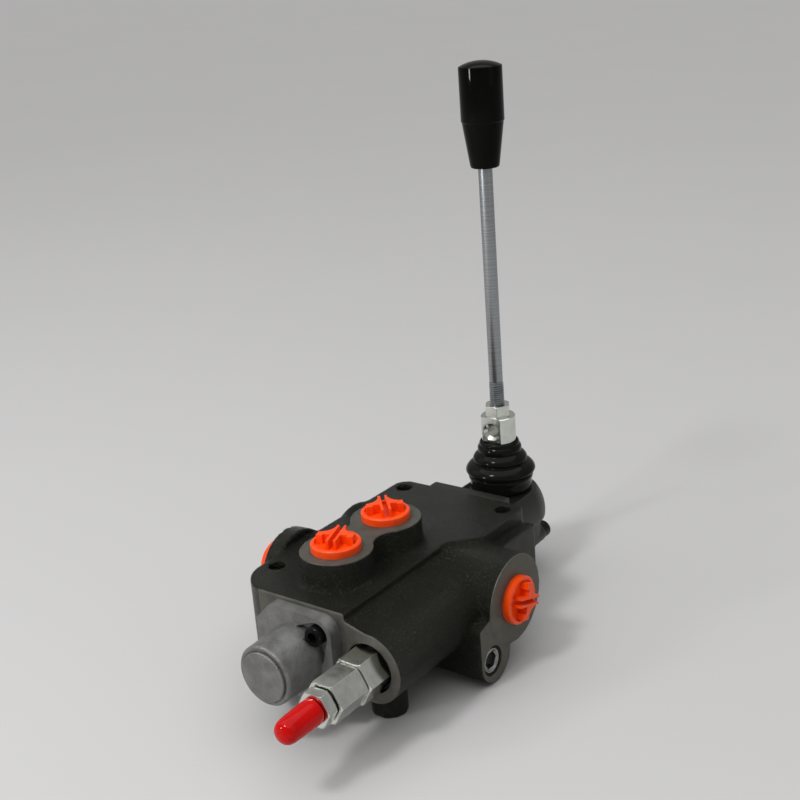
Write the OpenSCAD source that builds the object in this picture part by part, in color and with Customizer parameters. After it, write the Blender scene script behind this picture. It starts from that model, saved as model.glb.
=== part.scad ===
// Single-spool directional control valve with a hand lever, for mobile hydraulics.
// X runs across the spool towards the pressure port, Y along the spool towards the lever, Z up.
// The origin is the centre of the mounting hole pattern, on the plane of the feet.

/* [Mounting holes] */
// Hole pitch across the spool
foot_pitch_x = 65; // [63:0.5:69]
// Hole pitch along the spool
foot_pitch_y = 108; // [105:0.5:114]
// Diameter of the mounting holes
foot_hole_d = 8.5; // [7:0.5:9]
// Diameter of the feet and of the post
foot_d = 18; // [16:0.5:20]
// Depth of the tapped hole in the post
post_hole_depth = 15; // [12:1:18]

/* [Casting] */
// Distance of the spool plane from the middle of the hole pattern
spool_off_x = 2.5; // [1:0.5:4]
// Distance of the work ports' midpoint in front of the middle of the hole pattern
port_off_y = 28; // [26:0.5:30]
// Height of the top plate above the feet
plate_z = 62; // [60:0.5:66]
// Height of the underside of the block above the feet
underside_z = 12; // [9:0.5:14]
// Length of the block in front of the work ports' midpoint
front_len = 49.5; // [48:0.5:54]
// Metal beyond the left holes and the rear holes
hole_edge = 8; // [7:0.5:10]
// Width of the top plate right of the spool plane, at the front
front_w = 26; // [25:0.5:28]
// How far the rear right wall stands out past the top plate
ledge_w = 5; // [3:0.5:7]
// Drop from the top plate to the rear right ledge
ledge_drop = 9; // [7:0.5:12]
// Radius of the front left corner
front_corner_r = 20; // [14:1:22]
// Radius of the cast fillets round the bosses
cast_fillet = 2.5; // [2:0.5:4]

/* [Work ports] */
// Distance between the two work ports
port_pitch = 40; // [39:0.5:44]
// Diameter of the work port bosses at the top
boss_d = 36.4; // [34:0.2:38]
// Height of the work port bosses above the top plate
boss_h = 15; // [13:0.5:18]
// Growth of a boss's radius down to the top plate
boss_draft = 0.2; // [0.2:0.2:2]
// Radius of the hollow between the two bosses
boss_neck_r = 11; // [9:0.5:14]
// Minor diameter of the port threads
port_d = 18.6; // [18:0.2:20]
// Depth of the port threads
port_depth = 16; // [14:0.5:18]
// Diameter of the passages behind the ports
passage_d = 13; // [11:0.5:14]

/* [Pressure and tank ports] */
// Distance of the pressure port's face from the spool plane
p_reach = 62.8; // [61:0.2:66]
// Distance of the pressure port behind the work ports' midpoint
p_off = 40; // [39:0.5:42]
// Diameter of the pressure port's face
p_boss_d = 46.2; // [44:0.2:48]
// Distance of the tank port's face from the spool plane
t_reach = 51.5; // [50:0.5:55]
// Height of the tank port above the spool axis
t_lift = 9.5; // [7:0.5:11]
// Diameter of the tank port's boss
t_boss_d = 41.6; // [39:0.2:43]
// Diameter of the blank boss beside the tank port
blank_boss_d = 50; // [46:0.5:52]

/* [Spool] */
// Height of the spool axis above the feet
spool_z = 37; // [36:0.5:39]
// Diameter of the spool
spool_d = 18; // [16:0.5:20]
// Radial gap between the spool and its bore
spool_gap = 0.02; // [0.01:0.01:0.05]
// Travel of the spool each way
stroke = 6.5; // [5:0.5:7]
// Depth of the flow grooves in the spool
groove_depth = 3; // [2:0.5:4]
// Radius of the ring chambers in the bore
chamber_r = 12.5; // [11.5:0.5:13.5]
// Width of the ring chambers
chamber_w = 6; // [5:0.5:8]

/* [Relief valve] */
// Distance of the relief valve's axis from the spool plane
relief_off = 38.3; // [38:0.1:40]
// Diameter of the cast tube round the relief valve
tube_d = 36.2; // [34:0.2:38]
// Diameter of the tube's mouth
relief_mouth_d = 25.2; // [24.8:0.2:27]
// Diameter of the relief valve's body thread
relief_thread_d = 19.6; // [18:0.2:20]
// Width across flats of the relief valve's body
relief_body_af = 21; // [20:0.5:21.5]
// Distance of the body hexagon's front from the machined face
relief_body_out = 13.5; // [11:0.5:15]
// Width across flats of the adjuster housing
relief_sleeve_af = 19; // [17:0.5:20]
// Length of the adjuster housing's hexagon
relief_sleeve_len = 19; // [16:0.5:22]
// Width across flats of the lock nut
lock_nut_af = 16; // [15:0.5:17]
// Thickness of the lock nut
lock_nut_t = 6; // [5:0.5:7]
// Diameter of the adjusting screw
adjuster_d = 10; // [9:0.5:10]
// Diameter of the dust cap
dust_cap_d = 13; // [12.6:0.2:14]
// Length of the dust cap
dust_cap_len = 22; // [19:0.5:26]

/* [Spring cap] */
// Diameter of the spring cap's barrel at its end
cap_d = 31; // [30:0.2:33]
// Length of the spring cap
cap_len = 30.5; // [30:0.5:36]
// Half the width of the cap's base plate
cap_half_w = 23; // [22.5:0.5:24]
// Thickness of the cap's flange
cap_flange_t = 7; // [6:0.5:8]
// Thickness of the flange under the screw heads
cap_floor_t = 4; // [3:0.5:5]
// Distance of each cap screw from the spool axis, across and up
cap_bolt_off = 14.5; // [14:0.5:15.5]
// Diameter of the cap and housing screws
bolt_d = 6; // [5:0.5:6]

/* [Lever end] */
// Distance from the block's rear face to the lever's axis
lever_reach = 37; // [36:0.5:40]
// Radius of the lever housing's dome
dome_r = 24.5; // [24:0.5:26]
// Radius of the housing below the dome
skirt_r = 21.5; // [20.5:0.5:22.5]
// Height of the lever's pivot above the spool axis
pivot_h = 20; // [19:0.5:22]
// Diameter of the lever's ball
ball_d = 18; // [17:0.5:19]
// Diameter of the pin that the lever swings on
pivot_pin_d = 4; // [3:0.5:4]
// Diameter of the collar that carries the boot
collar_d = 30.6; // [30:0.2:32]
// Largest diameter of the rubber boot
boot_d = 40; // [38:0.5:42]
// Height of the rubber boot
boot_h = 29; // [28:0.5:31]

/* [Lever] */
// Diameter of the lever hub
hub_d = 19.4; // [18.4:0.2:20]
// Height of the hub's top above the spool axis
hub_top_h = 58.5; // [58:0.5:63]
// Tapping diameter of the hub's cross hole
cross_hole_d = 6.8; // [6:0.2:8]
// Diameter of the rod
rod_d = 7.2; // [6.6:0.2:7.6]
// Diameter of the rod's threads
rod_thread_d = 8; // [7.8:0.2:8.4]
// Length of rod between the hub and the knob
rod_len = 139.5; // [100:0.5:220]
// Largest diameter of the knob
knob_d = 23; // [21:0.5:26]
// Diameter of the knob at its foot
knob_foot_d = 15.8; // [14:0.2:18]
// Length of the knob
knob_len = 55; // [48:1:62]

/* [Check valve] */
// Distance of the check valve behind the work ports' midpoint
check_off = 17.3; // [16.5:0.1:18]
// Height of the check valve above the feet
check_z = 13.1; // [13:0.1:14.5]
// Radius of the cast lug round the check valve
lug_r = 13.3; // [12.5:0.1:13.4]
// Thread diameter of the gallery plug
gallery_plug_d = 13.2; // [12.4:0.2:14]

/* [Port plugs] */
// Diameter of a plug's flange
plug_flange_d = 25; // [23:0.5:28]
// Thickness of a plug's flange
plug_flange_t = 4; // [3:0.5:6]
// Depth of the cup in a plug's flange
plug_cup_depth = 1.5; // [0.5:0.1:2]
// Height of the grip above the flange
plug_grip_h = 3.2; // [2.4:0.2:6]
// Length of a plug's shank
plug_shank_len = 10; // [8:0.5:12]
// Height of the tank port's plug
tank_plug_h = 9.5; // [8:0.5:12]

/* [Hidden] */
// Radial gap of threads and of parts that are pressed or screwed together
seat_gap = 0.05;
// Radial gap of guided poppets and of the adjusting screw
guide_gap = 0.05;
// Gap between a soft part and what it covers
soft_gap = 0.3;
$fn = 64;

front_y = -front_len;
left_w = foot_pitch_x / 2 + spool_off_x + hole_edge;
rear_y = foot_pitch_y / 2 + port_off_y + hole_edge + 1;
rear_w = foot_pitch_x / 2 - spool_off_x + hole_edge + 1;
wall_w = rear_w + ledge_w;
ledge_z = plate_z - ledge_drop;
boss_z = plate_z + boss_h;
foot_x = [-foot_pitch_x / 2 - spool_off_x, foot_pitch_x / 2 - spool_off_x];
foot_y = [-foot_pitch_y / 2 + port_off_y, foot_pitch_y / 2 + port_off_y];
foot_r = foot_d / 2;
boss_r = boss_d / 2;
tube_r = tube_d / 2;
spool_r = spool_d / 2;
bore_r = spool_r + spool_gap;
passage_r = passage_d / 2;
port_r = port_d / 2;
t_z = spool_z + t_lift;
t_boss_r = t_boss_d / 2;
blank_boss_r = blank_boss_d / 2;
blank_y = t_boss_r + blank_boss_r + 2;
blank_reach = left_w + 2;
lug_reach = p_reach - 0.4;
lug_inner_x = 6;
lug_z = check_z + 0.4;
lug_y = check_off + 3.2;
seal_y = 6.5;
seal_ring_r = 1.5;

relief_thread_r = relief_thread_d / 2;
relief_depth = 30;
relief_gallery_r = 5;
relief_sleeve_z = relief_body_out + 0.3;
relief_sleeve_top = relief_sleeve_z + relief_sleeve_len;
lock_nut_z = relief_sleeve_top + 0.8;
dust_cap_z = lock_nut_z + lock_nut_t + 0.2;
adjuster_r = adjuster_d / 2;
adjuster_end = dust_cap_z + dust_cap_len - 8;
relief_cavity_r = 6;
relief_seat_z = 6 - relief_depth;

barrel_r = cap_d / 2;
spring_room_r = barrel_r - 2.7;
cup_t = 2;
cap_crown_t = 12.5;
spring_room_len = cap_len - cap_crown_t;
cup_r = spring_room_r - 0.5;
centring_bolt_r = spool_r / 3;
centring_thread_len = 14;
bolt_head_h = 3;
cap_end_t = 2.3;

lever_y = rear_y + lever_reach;
pivot_z = spool_z + pivot_h;
ball_r = ball_d / 2;
collar_r = collar_d / 2;
seat_r = collar_r - 2.8;
deck_z = spool_z + 14.5;
collar_top_z = pivot_z + 7;
seat_floor_z = pivot_z - ball_r + 2;
pivot_pin_r = pivot_pin_d / 2;
eye_end_y = lever_y + spool_r + 1;
finger_ball_r = 4.5;
eye_gap = 0.25;
housing_flange_t = 7;
housing_half_w = dome_r;
housing_bolt_off = 16;
column_r = 5.4;
step_z = spool_z - 4;
skirt_z = spool_z - 19;
boot_z = deck_z + soft_gap;
boot_top_z = boot_z + boot_h;
hub_r = hub_d / 2;
hub_z = pivot_z + 15;
hub_top_z = spool_z + hub_top_h;
hub_flat = 7.6;
cross_hole_z = hub_top_z - 8.1;
jam_nut_t = 6.5;
jam_nut_af = 13;
rod_hole_z = cross_hole_z + cross_hole_d / 2 + 1;
rod_foot_z = rod_hole_z + 0.3;
knob_z = hub_top_z + rod_len;
knob_r = knob_d / 2;
rod_top_z = knob_z + 18;

bolt_head_r = bolt_d / 2 + 2;
bolt_hole_r = bolt_d / 2 + 0.2;
bolt_tap = 12;

check_seat_x = 22;
check_bore_r = 6;
check_poppet_len = 9;
gallery_plug_len = 10;
plug_sink = 0.8;

module place() {
    translate([spool_off_x, -port_off_y, 0]) children();
}

// A straight or tapered rod along +Y, from y0 to y1
module rod_y(x, z, y0, y1, r0, r1) {
    translate([x, y0, z]) rotate([-90, 0, 0]) cylinder(h = y1 - y0, r1 = r0, r2 = r1);
}

// A straight or tapered rod along +X, from x0 to x1
module rod_x(y, z, x0, x1, r0, r1) {
    translate([x0, y, z]) rotate([0, 90, 0]) cylinder(h = x1 - x0, r1 = r0, r2 = r1);
}

module rod_z(x, y, z0, z1, r0, r1) {
    translate([x, y, z0]) cylinder(h = z1 - z0, r1 = r0, r2 = r1);
}

module block(x0, x1, y0, y1, z0, z1) {
    translate([x0, y0, z0]) cube([x1 - x0, y1 - y0, z1 - z0]);
}

// Local frames with +Z pointing out of the machined face that a group of pieces sits on
module on_front(x) {
    translate([x, front_y, spool_z]) rotate([90, 0, 0]) children();
}

module on_pressure_face() {
    translate([p_reach, p_off, spool_z]) rotate([0, 90, 0]) children();
}

module on_tank_face() {
    translate([-t_reach, 0, t_z]) rotate([0, -90, 0]) children();
}

module on_work_face(side) {
    translate([0, side * port_pitch / 2, boss_z]) children();
}

module on_lug_face() {
    translate([lug_reach, check_off, check_z]) rotate([0, 90, 0]) children();
}

// A vertical corner rounder: what is left of a square corner outside a round of radius r
module corner_waste(x, y, r, sx, sy, z0, z1) {
    difference() {
        block(min(x, x + sx * r), max(x, x + sx * r), min(y, y + sy * r), max(y, y + sy * r), z0, z1);
        rod_z(x, y, z0 - 1, z1 + 1, r, r);
    }
}

// Hexagon with chamfered corners, standing on z = 0
module hex_head(af, h, chamfer) {
    corner_r = af / sqrt(3);
    intersection() {
        cylinder(h = h, r = corner_r, $fn = 6);
        rotate_extrude()
            polygon([[0, 0], [corner_r - chamfer, 0], [corner_r, chamfer * 0.6],
                [corner_r, h - chamfer * 0.6], [corner_r - chamfer, h], [0, h]]);
    }
}

// Concave cast fillet round the foot of a round boss
module foot_fillet(r) {
    steps = 5;
    rotate_extrude()
        polygon(concat([[r - 1, -1], [r + cast_fillet, -1]],
            [for (i = [0 : steps])
                let (a = 90 * i / steps)
                [r + cast_fillet * (1 - sin(a)), cast_fillet * (1 - cos(a))]],
            [[r - 1, cast_fillet]]));
}

// Coil spring along +Z, swept as one closed tube with flat seats left to the eye
module coil_spring(mean_r, wire_r, length, turns) {
    sides = 7;
    per_turn = 14;
    rings = round(turns * per_turn);
    rise = (length - 2 * wire_r) / rings;
    ring_points = [for (i = [0 : rings], j = [0 : sides - 1])
        let (a = 360 * i / per_turn, b = 360 * j / sides, rr = mean_r + wire_r * cos(b))
        [rr * cos(a), rr * sin(a), wire_r + i * rise + wire_r * sin(b)]];
    wall = [for (i = [0 : rings - 1], j = [0 : sides - 1])
        let (k = (j + 1) % sides)
        [i * sides + j, (i + 1) * sides + j, (i + 1) * sides + k, i * sides + k]];
    near_cap = [[for (j = [0 : sides - 1]) j]];
    far_cap = [[for (j = [sides - 1 : -1 : 0]) rings * sides + j]];
    polyhedron(points = ring_points, faces = concat(wall, near_cap, far_cap), convexity = 6);
}

// The two work port bosses and the web between them, as one figure of eight
module work_bosses() {
    neck_x = sqrt(pow(boss_r + boss_neck_r, 2) - pow(port_pitch / 2, 2));
    for (side = [-1, 1]) {
        rod_z(0, side * port_pitch / 2, plate_z - 1, boss_z, boss_r + boss_draft, boss_r);
        translate([0, side * port_pitch / 2, plate_z]) foot_fillet(boss_r + boss_draft);
    }
    difference() {
        translate([0, 0, plate_z - 1])
            linear_extrude(height = boss_h + 1)
                polygon([[0, -port_pitch / 2], [neck_x, 0], [0, port_pitch / 2], [-neck_x, 0]]);
        for (side = [-1, 1])
            rod_z(side * neck_x, 0, plate_z - 2, boss_z + 1,
                boss_neck_r - boss_draft, boss_neck_r);
    }
}

// The block with its top plate, its rear right wall and the shoulder over the relief tube
module cast_block() {
    difference() {
        block(-left_w, front_w, front_y, rear_y, underside_z, plate_z);
        corner_waste(-left_w + front_corner_r, front_y + front_corner_r, front_corner_r + 0.01,
            -1, -1, underside_z - 1, plate_z + 1);
        corner_waste(-left_w + hole_edge, rear_y - hole_edge, hole_edge + 0.01,
            -1, 1, underside_z - 1, plate_z + 1);
    }
    difference() {
        union() {
            block(front_w - 1, rear_w, p_off + 8, rear_y, ledge_z - 1, plate_z);
            translate([0, 0, ledge_z - 1])
                linear_extrude(height = ledge_drop + 1)
                    polygon([[front_w - 2, p_off - 6], [front_w, p_off - 5], [rear_w, p_off + 9],
                        [front_w - 2, p_off + 9]]);
        }
        corner_waste(rear_w - 5, rear_y - 5, 5.01, 1, 1, ledge_z - 2, plate_z + 1);
    }
    block(front_w - 1, wall_w, p_off + 5, rear_y, underside_z + 5, ledge_z);
    translate([0, p_off, 0]) rotate([90, 0, 0])
        linear_extrude(height = p_off - front_y)
            polygon([[front_w - 2, plate_z - 3], [front_w + 1, plate_z - 4],
                [relief_off, spool_z + tube_r - 0.1], [relief_off, spool_z],
                [front_w - 2, spool_z - tube_r * 0.9]]);
}

// Feet under the three through holes, and the post under the relief tube
module feet() {
    for (p = [[foot_x[0], foot_y[0]], [foot_x[0], foot_y[1]], [foot_x[1], foot_y[1]]]) {
        rod_z(p[0], p[1], 0, underside_z + 6, foot_r, foot_r);
    }
    rod_z(foot_x[1], foot_y[0], 0, spool_z - tube_r + 6, foot_r, foot_r);
}

// The lug that carries the check valve, blended up to the pressure boss
module check_lug() {
    rod_x(lug_y, lug_z, lug_inner_x, lug_reach, lug_r, lug_r);
    translate([front_w - 4, 0, 0]) rotate([90, 0, 90])
        linear_extrude(height = lug_reach - front_w + 4)
            polygon([[lug_y - lug_r, lug_z], [lug_y - lug_r, spool_z - 3],
                [p_off - p_boss_d / 2 + 2, spool_z], [p_off, spool_z],
                [p_off + 5, spool_z - p_boss_d / 2 + 0.6], [lug_y + lug_r - 0.1, lug_z + 1.5],
                [lug_y, lug_z]]);
}

module cast_outside() {
    cast_block();
    feet();
    work_bosses();
    check_lug();
    rod_y(relief_off, spool_z, front_y, p_off + 14, tube_r, tube_r);
    rod_x(p_off, spool_z, front_w - 4, p_reach, p_boss_d / 2 + 1, p_boss_d / 2);
    rod_x(0, t_z, -t_reach, -left_w + 0.5, t_boss_r, t_boss_r + 0.5);
    rod_x(blank_y, spool_z + 1, -blank_reach, -left_w + 0.5, blank_boss_r, blank_boss_r + 0.4);
}

// Thread, mouth chamfer and passage of one port, on a local frame with +Z out of its face
module port_cut(passage_len) {
    translate([0, 0, -port_depth]) cylinder(h = port_depth + 1, r = port_r);
    translate([0, 0, -1.3]) cylinder(h = 1.31, r1 = port_r, r2 = port_r + 1.3);
    translate([0, 0, -passage_len]) cylinder(h = passage_len - port_depth + 0.01, r = passage_r);
}

module spool_bore() {
    rod_y(0, spool_z, front_y - 1, rear_y + 1, bore_r, bore_r);
    for (y = [-port_pitch / 2, 0, port_pitch / 2, p_off + 1])
        rod_y(0, spool_z, y - chamber_w / 2, y + chamber_w / 2, chamber_r, chamber_r);
    for (y = [front_y + seal_y, rear_y - seal_y])
        rod_y(0, spool_z, y - seal_ring_r - 0.1, y + seal_ring_r + 0.1,
            bore_r + 2 * seal_ring_r, bore_r + 2 * seal_ring_r);
}

module relief_bore() {
    on_front(relief_off) {
        translate([0, 0, -5]) cylinder(h = 6, r = relief_mouth_d / 2);
        translate([0, 0, -relief_depth]) cylinder(h = relief_depth, r = relief_thread_r + seat_gap);
        translate([0, 0, -(p_off - front_y)]) cylinder(h = p_off - front_y, r = relief_gallery_r);
    }
}

module check_bore() {
    depth = lug_reach - check_seat_x;
    on_lug_face() {
        translate([0, 0, -plug_sink]) cylinder(h = 2, r = gallery_plug_d / 2 + 1.2);
        translate([0, 0, -gallery_plug_len - 2])
            cylinder(h = gallery_plug_len + 2, r = gallery_plug_d / 2 + seat_gap);
        translate([0, 0, -depth]) cylinder(h = depth - 1, r = check_bore_r + guide_gap);
    }
    rod_x(check_off, check_z, lug_inner_x + 3, check_seat_x + 1, 3.8, 3.8);
    rod_z(lug_inner_x + 6.8, check_off + 1, check_z, spool_z - 6, 3.5, 3.5);
    rod_z(relief_off, check_off, check_z, spool_z, 3.2, 3.2);
}

module mounting_holes() {
    for (p = [[foot_x[0], foot_y[0]], [foot_x[0], foot_y[1]], [foot_x[1], foot_y[1]]])
        rod_z(p[0], p[1], -1, plate_z + 1, foot_hole_d / 2, foot_hole_d / 2);
    rod_z(foot_x[1], foot_y[0], -1, post_hole_depth, foot_hole_d / 2, foot_hole_d / 2);
}

module tapped_face_holes() {
    for (side = [-1, 1]) {
        rod_y(side * cap_bolt_off, spool_z + side * cap_bolt_off, front_y - 1, front_y + bolt_tap,
            bolt_d / 2 + seat_gap, bolt_d / 2 + seat_gap);
        rod_y(side * housing_bolt_off, spool_z - side * housing_bolt_off, rear_y - bolt_tap, rear_y + 1,
            bolt_d / 2 + seat_gap, bolt_d / 2 + seat_gap);
    }
}

module body_casting() color([0.17, 0.17, 0.17]) place() {
    difference() {
        cast_outside();
        spool_bore();
        for (side = [-1, 1]) on_work_face(side) port_cut(boss_z - spool_z);
        on_pressure_face() port_cut(p_reach - 6);
        on_tank_face() port_cut(t_reach - 6);
        relief_bore();
        check_bore();
        mounting_holes();
        tapped_face_holes();
    }
}

// Spool: ground lands, flow grooves, and a flattened eye that takes the lever's finger
module spool() color([0.78, 0.79, 0.8]) place() {
    eye_y = lever_y;
    groove_y = [-port_pitch * 0.78, -port_pitch * 0.25, port_pitch * 0.25, port_pitch * 0.78];
    difference() {
        rod_y(0, spool_z, front_y, eye_end_y, spool_r, spool_r);
        for (y = groove_y)
            difference() {
                rod_y(0, spool_z, y - 5, y + 5, spool_r + 1, spool_r + 1);
                rod_y(0, spool_z, y - 6, y + 6, spool_r - groove_depth, spool_r - groove_depth);
            }
        for (side = [-1, 1])
            translate([0, eye_y, spool_z + side * (4 + spool_r)])
                cube([spool_d + 2, 2 * spool_r + 6, 2 * spool_r], center = true);
        translate([0, eye_y, spool_z])
            cube([2 * finger_ball_r + 1, 2 * (finger_ball_r + eye_gap), spool_d], center = true);
        rod_y(0, spool_z, front_y - 1, front_y + centring_thread_len + 2,
            centring_bolt_r + seat_gap, centring_bolt_r + seat_gap);
    }
}

module seal_ring(y) {
    translate([0, y, spool_z]) rotate([90, 0, 0])
        rotate_extrude()
            translate([bore_r + seal_ring_r + 0.1, 0]) circle(r = seal_ring_r - 0.2, $fn = 20);
}

module spool_seal_front() color([0.08, 0.08, 0.08]) place() {
    seal_ring(front_y + seal_y);
}

module spool_seal_rear() color([0.08, 0.08, 0.08]) place() {
    seal_ring(rear_y - seal_y);
}

// Pocket in the cap's flange round one screw, drawn to two points on the barrel
module cap_pocket() {
    pocket_r = bolt_head_r + 1.3;
    tips = [[3, barrel_r + 1], [barrel_r + 1.5, 0]];
    edges = [for (i = [0, 1])
        let (dx = tips[i][0] - cap_bolt_off, dy = tips[i][1] - cap_bolt_off,
            a = atan2(dy, dx) + (2 * i - 1) * acos(pocket_r / norm([dx, dy])))
        [cap_bolt_off + pocket_r * cos(a), cap_bolt_off + pocket_r * sin(a)]];
    translate([cap_bolt_off, cap_bolt_off, 0]) cylinder(h = cap_flange_t, r = pocket_r);
    linear_extrude(height = cap_flange_t)
        polygon([[0, 0], tips[0], edges[0], [cap_bolt_off, cap_bolt_off], edges[1], tips[1]]);
}

// Spring cap: a square flange with a pocket round each screw, and a barrel with a stepped end
module spring_cap() color([0.6, 0.6, 0.59]) place() {
    corner_r = cap_half_w - cap_bolt_off;
    cut = 9;
    disc_r = barrel_r - 2.8;
    on_front(0) difference() {
        union() {
            difference() {
                union() {
                    linear_extrude(height = cap_flange_t)
                        polygon([[-cap_half_w + cut, cap_half_w], [cap_bolt_off, cap_half_w],
                            [cap_half_w, cap_bolt_off], [cap_half_w, -cap_half_w + cut],
                            [cap_half_w - cut, -cap_half_w], [-cap_bolt_off, -cap_half_w],
                            [-cap_half_w, -cap_bolt_off], [-cap_half_w, cap_half_w - cut]]);
                    for (side = [-1, 1]) translate([side * cap_bolt_off, side * cap_bolt_off, 0])
                        cylinder(h = cap_flange_t, r = corner_r);
                }
                for (side = [0, 180]) rotate([0, 0, side])
                    translate([0, 0, cap_floor_t]) cap_pocket();
            }
            rotate_extrude()
                polygon([[0, 0], [barrel_r + 0.8, 0], [barrel_r - 0.2, cap_len - 2.2],
                    [barrel_r - 0.9, cap_len - 1.4], [disc_r + 0.6, cap_len - 1.4],
                    [disc_r + 0.6, cap_len - 1.9], [disc_r, cap_len - 1.9],
                    [disc_r, cap_len - 0.4], [disc_r - 0.4, cap_len], [0, cap_len]]);
        }
        translate([0, 0, -1]) cylinder(h = spring_room_len + 1, r = spring_room_r);
        cylinder(h = cap_len - cap_end_t, r = spring_room_r - 3);
        for (side = [-1, 1]) translate([side * cap_bolt_off, side * cap_bolt_off, 0]) {
            translate([0, 0, -1]) cylinder(h = cap_floor_t + 2, r = bolt_hole_r);
            translate([0, 0, cap_floor_t]) cylinder(h = bolt_d + 0.8, r = bolt_head_r + 0.5);
        }
    }
}

// One socket-head screw on a local frame: the head's seat is z = 0 and the shank runs down
module socket_screw(shank) {
    difference() {
        union() {
            cylinder(h = bolt_d - 0.5, r = bolt_head_r);
            translate([0, 0, bolt_d - 0.5]) cylinder(h = 0.5, r1 = bolt_head_r, r2 = bolt_head_r - 0.5);
            translate([0, 0, -shank]) cylinder(h = shank, r = bolt_d / 2);
        }
        translate([0, 0, bolt_d / 2]) cylinder(h = bolt_d, r = bolt_d * 0.48, $fn = 6);
    }
}

module cap_screws() color([0.07, 0.07, 0.07]) place() {
    on_front(0) for (side = [-1, 1])
        translate([side * cap_bolt_off, side * cap_bolt_off, cap_floor_t])
            socket_screw(cap_floor_t + bolt_tap - 1);
}

// Spring cup: a washer with a short spigot that centres the spring
module spring_cup() {
    difference() {
        union() {
            cylinder(h = cup_t, r = cup_r);
            cylinder(h = cup_t + 2.5, r = 6.6);
        }
        translate([0, 0, -1]) cylinder(h = cup_t + 5, r = centring_bolt_r + 0.6);
    }
}

module spring_cup_rear() color([0.7, 0.69, 0.62]) place() {
    on_front(0) spring_cup();
}

module spring_cup_front() color([0.7, 0.69, 0.62]) place() {
    on_front(0) translate([0, 0, spring_room_len]) mirror([0, 0, 1]) spring_cup();
}

module centring_spring() color([0.45, 0.46, 0.48]) place() {
    on_front(0) translate([0, 0, cup_t]) coil_spring(8.6, 1.3, spring_room_len - 2 * cup_t, 3.5);
}

// The bolt that ties the centring spring to the spool
module centring_bolt() color([0.5, 0.5, 0.52]) place() {
    on_front(0) {
        translate([0, 0, -centring_thread_len])
            cylinder(h = spring_room_len + centring_thread_len, r = centring_bolt_r);
        translate([0, 0, spring_room_len]) difference() {
            cylinder(h = bolt_head_h, r = 5.5);
            translate([0, 0, 1.2]) cylinder(h = bolt_head_h, r = 2.6, $fn = 6);
        }
    }
}

// Relief valve body: thread and nose in the tube, hexagon outside, spring room within
module relief_body() color([0.66, 0.68, 0.64]) place() {
    on_front(relief_off) difference() {
        union() {
            translate([0, 0, -relief_depth + 2]) cylinder(h = relief_depth - 3, r = relief_thread_r);
            translate([0, 0, -4.9]) cylinder(h = 3.5, r = relief_body_af / 2 - 0.3);
            translate([0, 0, -1.5]) hex_head(relief_body_af, relief_body_out + 1.5, 1);
        }
        translate([0, 0, relief_seat_z]) cylinder(h = relief_body_out - relief_seat_z + 1,
            r = relief_cavity_r);
        translate([0, 0, 2]) cylinder(h = relief_body_out, r = relief_cavity_r + 2);
        translate([0, 0, -relief_depth]) cylinder(h = relief_depth, r = 3.25);
    }
}

module relief_sleeve() color([0.66, 0.68, 0.64]) place() {
    inner_z = 3;
    on_front(relief_off) difference() {
        union() {
            translate([0, 0, inner_z]) cylinder(h = relief_sleeve_z - inner_z + 1,
                r = relief_cavity_r + 2 - seat_gap);
            translate([0, 0, relief_sleeve_z]) hex_head(relief_sleeve_af, relief_sleeve_len, 1);
        }
        translate([0, 0, inner_z - 1]) cylinder(h = relief_sleeve_z, r = relief_cavity_r);
        translate([0, 0, inner_z]) cylinder(h = relief_sleeve_top, r = adjuster_r + guide_gap);
    }
}

module relief_lock_nut() color([0.68, 0.69, 0.62]) place() {
    on_front(relief_off) translate([0, 0, lock_nut_z]) difference() {
        hex_head(lock_nut_af, lock_nut_t, 0.9);
        translate([0, 0, -1]) cylinder(h = lock_nut_t + 2, r = adjuster_r + guide_gap);
    }
}

module adjusting_screw() color([0.6, 0.61, 0.62]) place() {
    on_front(relief_off) difference() {
        union() {
            translate([0, 0, relief_sleeve_z]) cylinder(h = adjuster_end - relief_sleeve_z - 1,
                r = adjuster_r);
            translate([0, 0, adjuster_end - 1.01])
                cylinder(h = 1.01, r1 = adjuster_r, r2 = adjuster_r - 1);
        }
        translate([0, 0, adjuster_end - 4]) cylinder(h = 5, r = 2.9, $fn = 6);
    }
}

module relief_spring_seat() color([0.7, 0.7, 0.68]) place() {
    on_front(relief_off) {
        translate([0, 0, relief_sleeve_z - 3.1]) cylinder(h = 3, r = relief_cavity_r - 0.5);
        translate([0, 0, relief_sleeve_z - 6]) cylinder(h = 3, r = 2.2);
    }
}

module relief_spring() color([0.42, 0.43, 0.45]) place() {
    spring_z = relief_seat_z + 8.2;
    on_front(relief_off) translate([0, 0, spring_z])
        coil_spring(3.9, 1, relief_sleeve_z - 3.2 - spring_z, 6.5);
}

module relief_poppet() color([0.74, 0.74, 0.75]) place() {
    on_front(relief_off) translate([0, 0, relief_seat_z]) {
        translate([0, 0, -1.5]) cylinder(h = 3.3, r1 = 1.7, r2 = 5);
        translate([0, 0, 1.8]) cylinder(h = 6.2, r = relief_cavity_r - guide_gap);
        translate([0, 0, 8]) cylinder(h = 2.5, r = 2.6);
    }
}

module relief_seal() color([0.08, 0.08, 0.08]) place() {
    on_front(relief_off) translate([0, 0, -4.1])
        rotate_extrude() translate([relief_mouth_d / 2 - 1, 0]) circle(r = 0.8, $fn = 16);
}

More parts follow.
